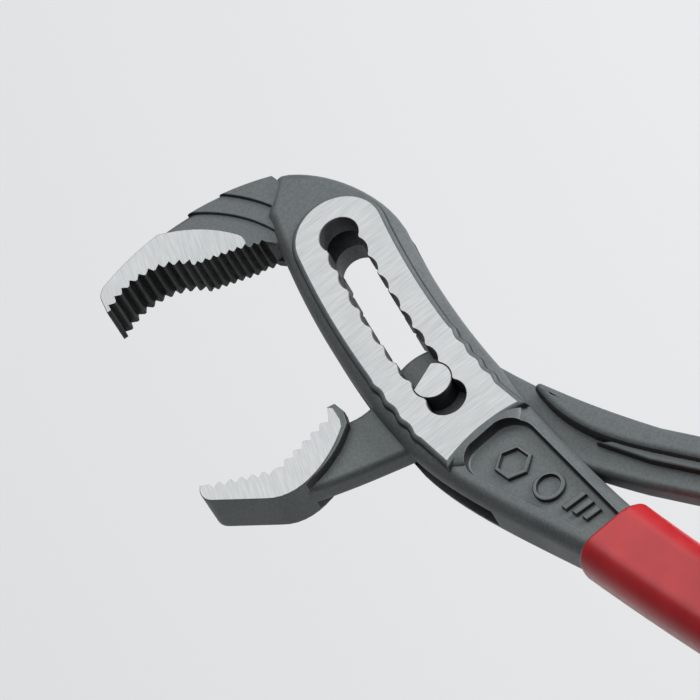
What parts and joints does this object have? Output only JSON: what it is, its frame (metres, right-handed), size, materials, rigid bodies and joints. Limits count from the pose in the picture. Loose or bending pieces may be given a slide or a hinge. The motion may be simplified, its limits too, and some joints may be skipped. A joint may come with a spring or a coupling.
{
  "type": "tongue and groove pliers",
  "caption": "Box-joint tongue and groove pliers with a curved adjusting slot, toothed jaws and dipped plastic grips.",
  "frame": {"origin": "centre of the resting footprint, on the plane of the back ground face", "axes": "+X along the tool from the jaws to the handle ends, +Y towards the handle of the leg with the lower jaw, +Z along the pin out of the front face"},
  "size_m": [0.25, 0.0576, 0.012],
  "materials": {
    "forged_steel": "grey phosphate over forged steel, ground bright on the box plateau and jaw sides",
    "ground_steel": "ground",
    "grip_plastic": "dipped, satin gloss"
  },
  "bodies": {
    "slotted_leg": {"outer_leg": "forged_steel", "outer_grip": "grip_plastic"},
    "pin_carriage": {"pin_core": "ground_steel"},
    "swinging_leg": {"inner_leg": "forged_steel", "pivot_pin": "ground_steel", "inner_grip": "grip_plastic"}
  },
  "joints": [
    {"name": "slot_adjust", "type": "hinge", "parent": "slotted_leg", "child": "pin_carriage", "pos_m": [0.00036, 0.15104, 0.006], "axis": [0, 0, 1], "range_deg": [-7.5, 1.5]},
    {"name": "pivot", "type": "hinge", "parent": "pin_carriage", "child": "swinging_leg", "pos_m": [-0.06255, 0.00284, 0.006], "axis": [0, 0, 1], "range_deg": [-1, 66]}
  ]
}
